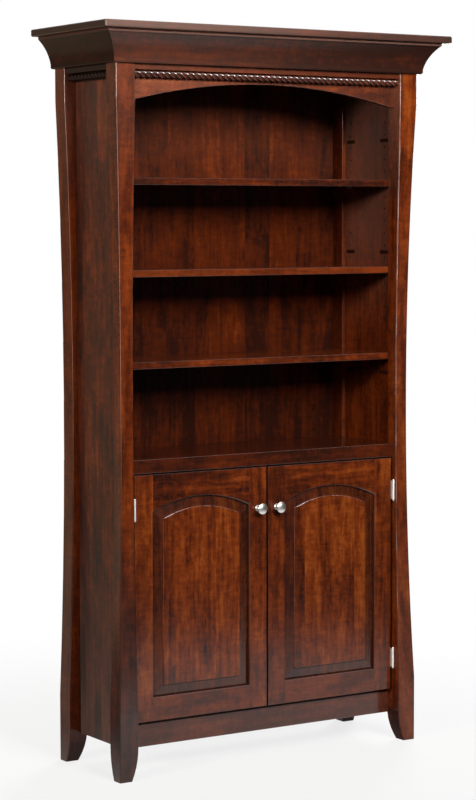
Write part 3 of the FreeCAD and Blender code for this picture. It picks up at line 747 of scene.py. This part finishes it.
def rope_mesh(form, run, place):
    """A rope along local Z of the given run, put in place by a matrix."""
    made = bmesh.new()
    section = rope_section(form)
    steps = round(run / form.ring_step)
    rings = []
    for step in range(steps + 1):
        z = run * step / steps
        twist = 2 * math.pi * z / form.lead
        points = [Vector((radius * math.cos(around + twist), radius * math.sin(around + twist), z))
                  for radius, around in section]
        rings.append([made.verts.new(place @ point) for point in points])
    for lower, upper in zip(rings, rings[1:]):
        for here in range(len(section)):
            after = (here + 1) % len(section)
            made.faces.new((lower[here], lower[after], upper[after], upper[here]))
    made.faces.new(rings[0][::-1])
    made.faces.new(rings[-1])
    return made


class BOOKCASE_OT_finish_wood(bpy.types.Operator):
    """Stain and varnish every board of the case, the shelves and the doors, and paint in light and shade"""
    bl_idname = "bookcase.finish_wood"
    bl_label = "Finish the wood"

    def execute(self, context):
        for seed, (node, board) in enumerate(BOARDS.items()):
            dress(node, cherry("cherry_" + node, board, seed, painted_shade_mask(node), painted_highlight_mask(node)))
        return {"FINISHED"}


class BOOKCASE_OT_lay_ropes(bpy.types.Operator):
    """Lay the three twisted rope mouldings under the frieze"""
    bl_idname = "bookcase.lay_ropes"
    bl_label = "Lay the rope mouldings"

    def execute(self, context):
        form = context.scene.bookcase.rope
        for seed, (node, board) in enumerate(ROPES.items()):
            low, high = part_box(node)
            middle = (low + high) / 2
            if board.grain == "X":
                run = high.x - low.x
                start = (low.x, middle.y, middle.z)
                turn = Matrix.Rotation(QUARTER_TURN, 4, "Y")
            else:
                run = high.y - low.y
                start = (middle.x, low.y, middle.z)
                turn = Matrix.Rotation(-QUARTER_TURN, 4, "X")
            # Painted shade in the grooves between the rope's strands.
            painted_shade = partial(rope_groove, middle=middle, axis=board.grain, form=form)
            material = cherry("cherry_" + node, board, seed, painted_shade)
            made = rope_mesh(form, run, Matrix.Translation(start) @ turn)
            rope = mesh_object(node + "_moulding", made, material)
            rope.data.shade_smooth()
            rope.data.set_sharp_from_angle(angle=SHARP_ANGLE)
            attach(rope, "case")
            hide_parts(node)
        return {"FINISHED"}


class BOOKCASE_OT_fit_hardware(bpy.types.Operator):
    """Finish the hinges, shelf supports, knobs and catches"""
    bl_idname = "bookcase.fit_hardware"
    bl_label = "Fit the hardware"

    def execute(self, context):
        look = context.scene.bookcase.nickel
        satin = nickel("satin_nickel", look.satin, look.satin_roughness, look.brushing)
        bright = nickel("bright_nickel", look.bright, look.bright_roughness, look.hinge_brushing)
        steel = nickel("plain_steel", look.steel, look.steel_roughness, look.brushing)
        for nodes, material in ((SATIN_NODES, satin), (HINGE_NODES, bright), (STEEL_NODES, steel)):
            for node in nodes:
                dress(node, material)
        return {"FINISHED"}


class Lamp(NamedTuple):
    """A soft light: its place and the point that it faces, the size of its front in metres, and the spread
    of its beam in degrees."""
    place: tuple
    aim: tuple
    width: float
    height: float
    spread: float = 180.0


KEY_LAMP = Lamp((-0.2, -4.6, 3.3), (0.0, 0.0, 1.9), 1.7, 1.7, 65.0)
SIDE_LAMP = Lamp((-5.4, -1.7, 2.15), (0.0, 0.0, 1.3), 0.6, 0.5)
REAR_LAMP = Lamp((3.6, 3.4, 2.4), (0.0, 0.0, 1.0), 1.6, 1.6)
WHITE = (1.0, 1.0, 1.0)

# Sizes of the studio in metres. The floor turns whiter, and the cloth closes, between two distances.
FLOOR_REACH = 12.0
FLOOR_WHITE_SPAN = (0.5, 2.2)
CLOTH_RADIUS = 6.0
CLOTH_HEIGHT = 5.0
CLOTH_LIFT = 1.0 * MM
CLOTH_SIDES = 48
CLOTH_CENTRE = (0.4, -0.6, 0.0)
CLOTH_GAP_SPAN = (0.55, 1.7)
LEFT_REAR = (-0.54, 0.84, 0.0)
CAMERA_REACH = 100.0
# The width of the camera's sensor in millimetres.
SENSOR_WIDTH = 36.0


def soft_box(name, lamp, energy, tint=WHITE):
    """A studio light with a flat soft front, which the camera doesn't see."""
    data = bpy.data.lights.new(name, "AREA")
    data.shape = "RECTANGLE"
    data.size = lamp.width
    data.size_y = lamp.height
    data.energy = energy
    data.color = tint
    data.spread = math.radians(lamp.spread)
    light = bpy.data.objects.new(name, data)
    light.location = lamp.place
    light.rotation_euler = (Vector(lamp.aim) - Vector(lamp.place)).to_track_quat("-Z", "Y").to_euler()
    light.visible_camera = False
    bpy.context.scene.collection.objects.link(light)


def seen(make):
    """1 for rays that see the background: from the camera, from gloss and through glass."""
    camera, glossy, passing = (make.node("ShaderNodeLightPath", output=name) for name in
                               ("Is Camera Ray", "Is Glossy Ray", "Is Transmission Ray"))
    return make.maths("MAXIMUM", camera, make.maths("MAXIMUM", glossy, passing))


class BOOKCASE_OT_set_stage(bpy.types.Operator):
    """Put down a pale floor, hang soft lights and place the camera"""
    bl_idname = "bookcase.set_stage"
    bl_label = "Set the stage"

    def execute(self, context):
        studio = context.scene.bookcase.studio
        self.floor(studio)
        self.dark_cloth(studio)
        self.world(studio)
        soft_box("key_light", KEY_LAMP, studio.key_power)
        soft_box("side_light", SIDE_LAMP, studio.side_power, studio.side_tint)
        soft_box("rear_light", REAR_LAMP, studio.rear_power)
        self.camera(studio)
        context.scene.view_settings.view_transform = "Standard"
        return {"FINISHED"}

    def floor(self, studio):
        """A floor that looks nearly white, and throws little light back on the bookcase."""
        made = bmesh.new()
        bmesh.ops.create_grid(made, x_segments=1, y_segments=1, size=FLOOR_REACH)
        material, make = new_material("pale_floor")
        place = make.node("ShaderNodeTexCoord", output="Object")
        is_seen = seen(make)
        shown = make.mix(is_seen, opaque(studio.bounce), opaque(studio.floor))
        paint = make.node("ShaderNodeBsdfDiffuse", inputs={"Color": shown})
        glow = make.node("ShaderNodeEmission", inputs={"Color": opaque(WHITE)})
        whiteness = place.length().above(*FLOOR_WHITE_SPAN) * (1 - studio.floor_glow) + studio.floor_glow
        show(make, make.node("ShaderNodeMixShader", inputs={0: is_seen * whiteness, 1: paint, 2: glow}))
        mesh_object("floor", made, material)

    def dark_cloth(self, studio):
        """A round wall and a wide skirt of dark cloth that only reflections see, so the varnish keeps its
        depth."""
        made = bmesh.new()
        bmesh.ops.create_cone(made, cap_ends=False, segments=CLOTH_SIDES, radius1=CLOTH_RADIUS,
                              radius2=CLOTH_RADIUS, depth=CLOTH_HEIGHT,
                              matrix=Matrix.Translation((0.0, 0.0, CLOTH_HEIGHT / 2)))
        bmesh.ops.create_circle(made, cap_ends=True, segments=CLOTH_SIDES, radius=CLOTH_RADIUS,
                                matrix=Matrix.Translation((0.0, 0.0, CLOTH_LIFT)))
        material, make = new_material("dark_cloth")
        place = make.vector("SUBTRACT", make.node("ShaderNodeTexCoord", output="Object"), CLOTH_CENTRE)
        behind = place.dot(LEFT_REAR)
        near_floor = behind.above(2.8, 4.2) * (1 - place.split()["Z"].above(0.1, 0.5))
        paler = behind.above(2.0, 6.0) * 0.5 + near_floor * 0.5
        tint = make.mix(paler, opaque(studio.wall), opaque(studio.pale_wall))
        cloth = make.node("ShaderNodeEmission", inputs={"Color": tint})
        gap = make.node("ShaderNodeBsdfTransparent")
        closed = place.length().above(*CLOTH_GAP_SPAN)
        show(make, make.node("ShaderNodeMixShader", inputs={0: closed, 1: gap, 2: cloth}))
        piece = mesh_object("dark_cloth", made, material)
        piece.visible_camera = False
        piece.visible_diffuse = False
        piece.visible_transmission = False
        piece.visible_shadow = False

    def world(self, studio):
        """A little light from all round, and a white background."""
        world = bpy.data.worlds.new("studio")
        bpy.context.scene.world = world
        world.use_nodes = True
        world.node_tree.nodes.clear()
        make = Shade(world.node_tree)
        around = {"Color": opaque(WHITE), "Strength": studio.ambient}
        ambient = make.node("ShaderNodeBackground", inputs=around)
        white = make.node("ShaderNodeBackground", inputs={"Color": opaque(WHITE), "Strength": 1.0})
        both = make.node("ShaderNodeMixShader", inputs={0: seen(make), 1: ambient, 2: white})
        make.node("ShaderNodeOutputWorld", inputs={"Surface": both})

    def camera(self, studio):
        """A camera that looks straight on before it is turned."""
        lens = bpy.data.cameras.new("camera")
        lens.lens = studio.camera_lens
        lens.sensor_width = SENSOR_WIDTH
        lens.clip_end = CAMERA_REACH
        camera = bpy.data.objects.new("camera", lens)
        yaw = Matrix.Rotation(-studio.camera_yaw, 4, "Z")
        pitch = Matrix.Rotation(QUARTER_TURN - studio.camera_pitch, 4, "X")
        roll = Matrix.Rotation(studio.camera_roll, 4, "Z")
        camera.matrix_world = Matrix.Translation(studio.camera_place) @ yaw @ pitch @ roll
        bpy.context.scene.collection.objects.link(camera)
        bpy.context.scene.camera = camera


class BOOKCASE_PT_sidebar(bpy.types.Panel):
    """The bookcase's steps and settings"""
    bl_label = "Bookcase"
    bl_space_type = "VIEW_3D"
    bl_region_type = "UI"
    bl_category = "Bookcase"

    def draw(self, context):
        for operator in OPERATORS:
            self.layout.operator(operator.bl_idname)
        for group in ("cherry", "nickel", "rope", "studio"):
            settings = getattr(context.scene.bookcase, group)
            box = self.layout.box()
            for name in settings.__annotations__:
                box.prop(settings, name)


OPERATORS = (BOOKCASE_OT_finish_wood, BOOKCASE_OT_lay_ropes, BOOKCASE_OT_fit_hardware, BOOKCASE_OT_set_stage)
CLASSES = (CherryFinish, NickelFinish, RopeForm, StudioSet, BookcaseSettings, *OPERATORS, BOOKCASE_PT_sidebar)


def register():
    for each in CLASSES:
        bpy.utils.register_class(each)
    bpy.types.Scene.bookcase = bpy.props.PointerProperty(type=BookcaseSettings)


def unregister():
    del bpy.types.Scene.bookcase
    for each in reversed(CLASSES):
        bpy.utils.unregister_class(each)


def main():
    register()
    bpy.ops.bookcase.finish_wood()
    bpy.ops.bookcase.lay_ropes()
    bpy.ops.bookcase.fit_hardware()
    bpy.ops.bookcase.set_stage()


if __name__ == "__main__":
    main()
